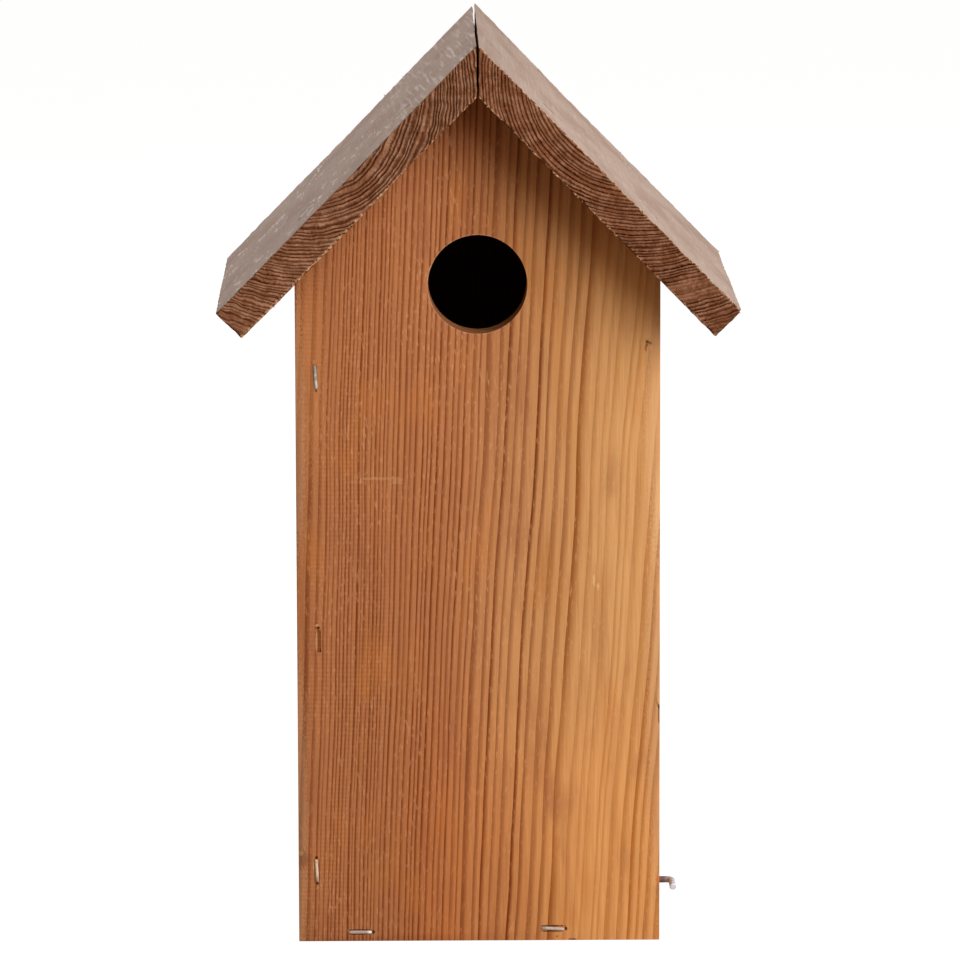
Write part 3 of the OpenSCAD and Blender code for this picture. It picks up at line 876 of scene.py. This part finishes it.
# What handling has left on the rest of the front's face
WEAR_MARKS = [
    # Rubbed long edges
    Mark(-82.5, 242, 4, 62, PALE, 0.22, 0, 1.2),
    Mark(-82.5, 60, 3.6, 75, PALE, 0.22, 0, 1.2),
    Mark(-76, 268, 6.5, 50, (214, 144, 86), 0.32, 0, 1.5),
    Mark(82, 245, 6, 62, PALE, 0.20, 0, 1.5),
    Mark(82, 110, 5, 95, PALE, 0.18, 0, 1.5),
    # Scratches and nicks
    Mark(-46, 216, 6.5, 0.7, FRESH, 0.30, 0.4, 2.2),
    Mark(-37, 215, 3, 1.6, FRESH, 0.22, 0.4, 2.2),
    Mark(-57, 214.5, 4, 0.6, FRESH, 0.15, 0, 2.2),
    Mark(52.8, 168.5, 0.7, 2.6, NICK, 0.75, 0.5, 1.3),
    Mark(54.6, 165.6, 0.6, 1.8, NICK, 0.65, 0.5, 1.3),
    # A bruise on the left edge, and pits in the lower one painted dark as painted shade
    Mark(-81.2, 38.5, 2.2, 4, (96, 48, 24), 0.4, -1, 1.8),
    Mark(-81.8, 41.5, 1.2, 1.2, FRESH, 0.4, 0, 1.2),
    Mark(35.8, 1.9, 0.35, 0.3, PIT_SHADE, 0.85, -2, 0.5),
    Mark(42.9, 0.45, 2.2, 0.35, (80, 34, 12), 0.85, -2, 0.6),
    # A chip out of the right edge, its dark painted shade, and torn fibres further down it
    Mark(82.6, 106, 0.5, 4.8, (140, 84, 46), 0.8, -3, 0.6),
    Mark(82.5, 109.3, 0.5, 1, (100, 52, 24), 0.85, -4, 0.6),
    Mark(81.3, 112.6, 0.45, 1.6, (170, 136, 80), 0.75, -1, 0.8),
    Mark(81.9, 110.9, 0.4, 0.9, (150, 116, 60), 0.7, -1, 0.8),
    Mark(81.5, 108.6, 0.5, 0.7, (222, 184, 128), 0.35, 0.5, 1.2),
    Mark(82, 30.3, 0.8, 0.8, (236, 150, 104), 0.6, 0.5, 0.8),
    Mark(82.2, 28.4, 1, 0.8, (222, 124, 70), 0.7, 0.5, 0.8)]


def cover_holes(material):
    """Closes the nail's pit and the groove of the staple that went in too deep with torn wood."""
    x, z, _ = middle_of("pivot_nail_front")
    torn_cover("pivot_nail_torn_wood", ragged_ring(x, z, 1.62, 1.62, 0.08, 701), -0.04, material)
    x, z, half = middle_of("front_side_staple_2")
    # The groove's floor carries the slot's painted shade from the marks
    torn_cover("staple_groove_floor", ragged_ring(x + 0.1, z, 0.74, half - 0.2, 0.02, 702), 0.28, material)
    torn_cover("staple_groove_flap", ragged_ring(x - 0.66, z + 0.1, 0.40, half - 0.5, 0.12, 703), -0.04, material)


def build_walls():
    entrance = next(mount for mount in frame["record"]["mounts"] if mount["name"] == "entrance_hole")
    radius = entrance["dims"]["r_mm"] * MM
    middle = Vector(entrance["pos_m"])
    middle.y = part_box("front_wall")[0].y
    front = planed_larch("front_larch", FRONT_CUT, marks=staple_marks() + nail_marks() + WEAR_MARKS,
                         hole=(middle.x / MM, middle.z / MM, radius / MM))
    inner = chamber_face("front_wall_inside", FRONT_CUT)
    planed_board("front_wall", "root", front, inner, rim=(middle, radius))
    cover_holes(front)
    for node, body, cut in (("back_wall", "root", BACK_CUT), ("left_wall", "root", LEFT_CUT),
                            ("clean_out_side", "clean_out_side", SIDE_CUT), ("floor_board", "root", FLOOR_CUT)):
        wood = planed_larch(node + "_larch", cut)
        inner = chamber_face(node + "_inside", cut)
        planed_board(node, body, wood, inner)


def build_roof():
    for side, node in ((-1, "roof_left"), (1, "roof_right")):
        faces = roof_face(node + "_faces", node, side, ROOF_CUTS[side], ROOF_WEATHER[side])
        ends = end_grain(node + "_ends", node, side, ROOF_CUTS[side], ROOF_ENDS[side])
        sawn_board(node, "root", side, faces, ends, 500 + 100 * side, ROOF_SHAPES[side])


def dress_metal():
    metals = {"staple": zinc("staple_zinc", rgb(190, 186, 178), rgb(158, 148, 138), 0.62, 0.2),
              "front_side_staple_1": zinc("staple_dusty", rgb(226, 196, 170), rgb(190, 152, 124), 0.7, 0.1),
              # The staple sunk deep in its groove is dark with rust and with painted shade
              "front_side_staple_2": zinc("staple_rust_and_shade", rgb(92, 62, 42), rgb(70, 44, 28), 0.7, 0.2),
              # The floor staple's crown turns nearly white toward its right end: a painted highlight
              "front_floor_staple_1": zinc("staple_highlit_end", rgb(250, 244, 236), rgb(186, 166, 152), 0.5, 0.15,
                                           highlight_from=(-0.0520, -0.0505)),
              "front_floor_staple_2": zinc("staple_dull", rgb(198, 180, 168), rgb(168, 148, 136), 0.65, 0.15),
              # The hook's shank is dull with a brown film; its arm is painted light as a painted highlight and
              # reflection
              "latch_hook": zinc("hook_zinc", rgb(216, 212, 220), rgb(112, 86, 80), 0.45, 0.4,
                                 highlight_from=(0.0850, 0.0885)),
              "nail": zinc("nail_steel", rgb(80, 66, 54), rgb(54, 42, 34), 0.6, 0.3)}
    for name, node in frame["nodes"].items():
        kind = next((key for key in (name, "staple", "nail") if key in metals and key in name), None)
        if kind:
            node.data.materials.clear()
            node.data.materials.append(metals[kind])


# ---- Stage ----

def is_background_ray(tree):
    """1 for the rays that should see a white studio: from the camera, in gloss and through glass."""
    path = tree.node("ShaderNodeLightPath").outputs
    seen = tree.math("MAXIMUM", path["Is Camera Ray"], path["Is Glossy Ray"])
    return tree.math("MAXIMUM", seen, path["Is Transmission Ray"])


def build_world():
    """Weak warm light from all around, and a white studio to look at."""
    tree = Tree("studio", world=True)
    light = tree.node("ShaderNodeBackground", {"Color": (1.0, 0.68, 0.48, 1.0), "Strength": 0.13})
    white = tree.node("ShaderNodeBackground", {"Color": (1, 1, 1, 1), "Strength": 1.0})
    bpy.context.scene.world = tree.finish_blend(is_background_ray(tree), light, white)


def build_floor():
    """A pale floor that the camera sees as white, with the object's shadow faint on it."""
    mesh = bpy.data.meshes.new("floor")
    half, drop = 6.0, 0.0003
    corners = [(x * half, y * half, -drop) for x, y in ((-1, -1), (1, -1), (1, 1), (-1, 1))]
    mesh.from_pydata(corners, [], [(0, 1, 2, 3)])
    tree = Tree("floor_white")
    pale = tree.node("ShaderNodeBsdfDiffuse", {"Color": (0.41, 0.31, 0.23, 1)})
    faint = tree.node("ShaderNodeBsdfDiffuse", {"Color": (0.16, 0.16, 0.16, 1)})
    glow = tree.node("ShaderNodeEmission", {"Strength": 0.975})
    seen = tree.node("ShaderNodeAddShader", {0: faint.outputs[0], 1: glow.outputs[0]})
    material = tree.finish_blend(is_background_ray(tree), pale, seen)
    add_object("floor", mesh, material)


def softbox(name, direction, distance, width, height, level):
    """A lamp that shines on the box. level is the brightness it gives a white card there."""
    target = Vector((0, 0, 0.2))
    lamp = bpy.data.lights.new(name, "AREA")
    lamp.shape = "RECTANGLE"
    lamp.size = width
    lamp.size_y = height
    lamp.energy = level * (math.pi * distance) ** 2
    holder = add_object(name, lamp)
    holder.location = target + Vector(direction).normalized() * distance
    holder.rotation_euler = (target - holder.location).to_track_quat("-Z", "Y").to_euler()


def build_camera():
    """A long lens a little above the box, from straight in front."""
    place = Vector((-0.0250, -3.0236, 0.6973))
    down, toward_right, roll = math.radians(9.2717), math.radians(0.5021), math.radians(0.1547)
    camera = bpy.data.cameras.new("camera")
    camera.lens = 246.29
    camera.sensor_width = 36
    turned = (Matrix.Rotation(-toward_right, 3, "Z") @ Matrix.Rotation(math.pi / 2 - down, 3, "X")
              @ Matrix.Rotation(-roll, 3, "Z"))
    holder = add_object("camera", camera)
    holder.matrix_world = Matrix.LocRotScale(place, turned, None)
    bpy.context.scene.camera = holder


def build_stage():
    build_world()
    build_floor()
    softbox("key", direction=(0.96, -1.0, 0.63), distance=2.3, width=1.6, height=2.0, level=1.14)
    softbox("top", direction=(-0.25, 0.35, 1.0), distance=1.6, width=1.4, height=1.4, level=0.55)
    softbox("rear", direction=(-0.85, 1.0, 0.30), distance=2.6, width=1.8, height=1.8, level=0.50)
    build_camera()
    bpy.context.scene.view_settings.view_transform = "Standard"


build_walls()
build_roof()
dress_metal()
build_stage()
